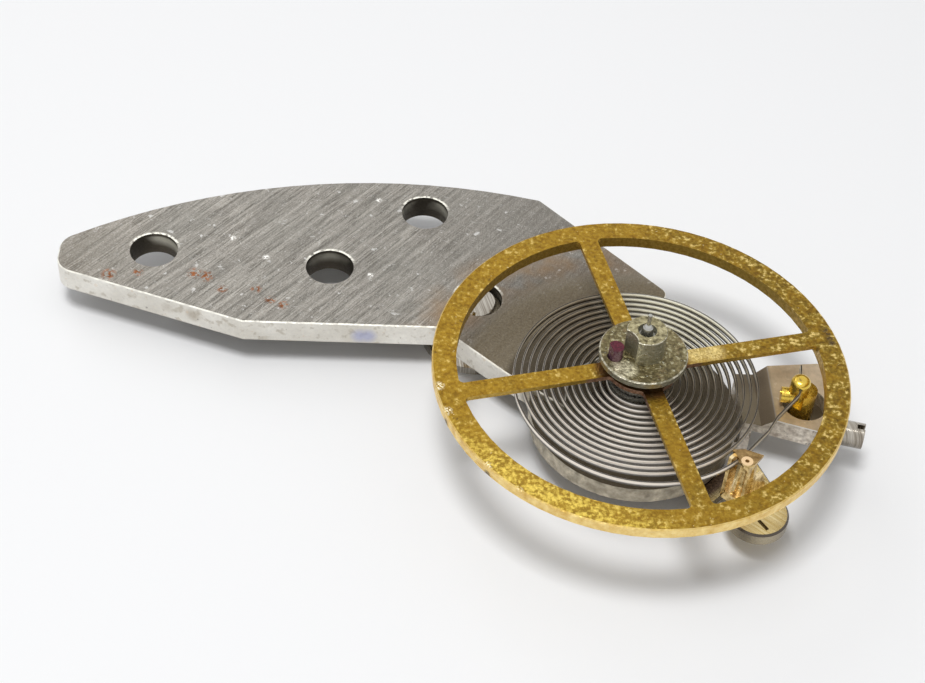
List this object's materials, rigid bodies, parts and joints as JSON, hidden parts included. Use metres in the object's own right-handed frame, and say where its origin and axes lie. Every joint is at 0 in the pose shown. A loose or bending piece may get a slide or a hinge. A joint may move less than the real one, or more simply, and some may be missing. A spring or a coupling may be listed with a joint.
{
  "type": "balance wheel assembly",
  "caption": "Watch balance wheel on its cock, lying with the movement side up, with hairspring, stud holder, regulator and rollers; the wheel swings against its spring.",
  "frame": {"origin": "balance axis at the level of the cock's seating face", "axes": "+Z along the balance axis, out of the cock's seating face towards the movement; +X along the cock's straight front edge, away from its foot"},
  "size_m": [0.0203, 0.0128, 0.0045],
  "materials": {
    "plate_metal": "brushed, nickel grey",
    "rim_alloy": "fine grain, slightly tarnished",
    "gilt_brass": "polished",
    "turned_steel": "turned",
    "polished_steel": "polished",
    "spring_alloy": "satin",
    "ruby": "polished"
  },
  "bodies": {
    "cock": {"balance_cock": "plate_metal", "shock_setting": "gilt_brass", "chaton": "gilt_brass", "hole_jewel": "ruby", "cap_jewel": "ruby", "lyre_spring": "turned_steel"},
    "regulating_eccentric": {"regulating_eccentric": "polished_steel"},
    "regulator": {"regulator": "plate_metal"},
    "regulator_boot": {"regulator_boot": "gilt_brass"},
    "stud_holder": {"stud_holder": "plate_metal", "stud_screw": "turned_steel", "hairspring_stud": "gilt_brass", "stud_pin": "gilt_brass", "hairspring": "spring_alloy"},
    "balance": {"balance_wheel": "rim_alloy", "balance_staff": "turned_steel", "impulse_roller": "turned_steel", "impulse_jewel": "ruby", "safety_roller": "turned_steel", "collet": "turned_steel", "collet_pin": "turned_steel"}
  },
  "joints": [
    {"name": "stud_holder_turn", "type": "hinge", "parent": "cock", "child": "stud_holder", "pos_m": [0, 0, -0.0011], "axis": [0, 0, 1], "range_deg": [-5, 10]},
    {"name": "balance_swing", "type": "hinge", "parent": "stud_holder", "child": "balance", "pos_m": [0, 0, 0.0013], "axis": [0, 0, 1], "range_deg": [-270, 270], "stiffness_Nm_per_rad": 0.0000006, "deforming": ["hairspring"]},
    {"name": "eccentric_turn", "type": "hinge", "parent": "cock", "child": "regulating_eccentric", "pos_m": [-0.00375, 0.00345, -0.0012], "axis": [0, 0, 1], "range_deg": [-60, 60]},
    {"name": "regulator_turn", "type": "hinge", "parent": "cock", "child": "regulator", "pos_m": [0, 0, -0.0008], "axis": [0, 0, 1], "range_deg": [-1.6, 1.6]},
    {"name": "boot_turn", "type": "hinge", "parent": "regulator", "child": "regulator_boot", "pos_m": [0.00232, -0.0024, -0.0002], "axis": [0, 0, 1], "range_deg": [-4, 4]}
  ],
  "couplings": [
    {"joint": "regulator_turn", "follows": "eccentric_turn", "ratio": 0.0255}
  ]
}
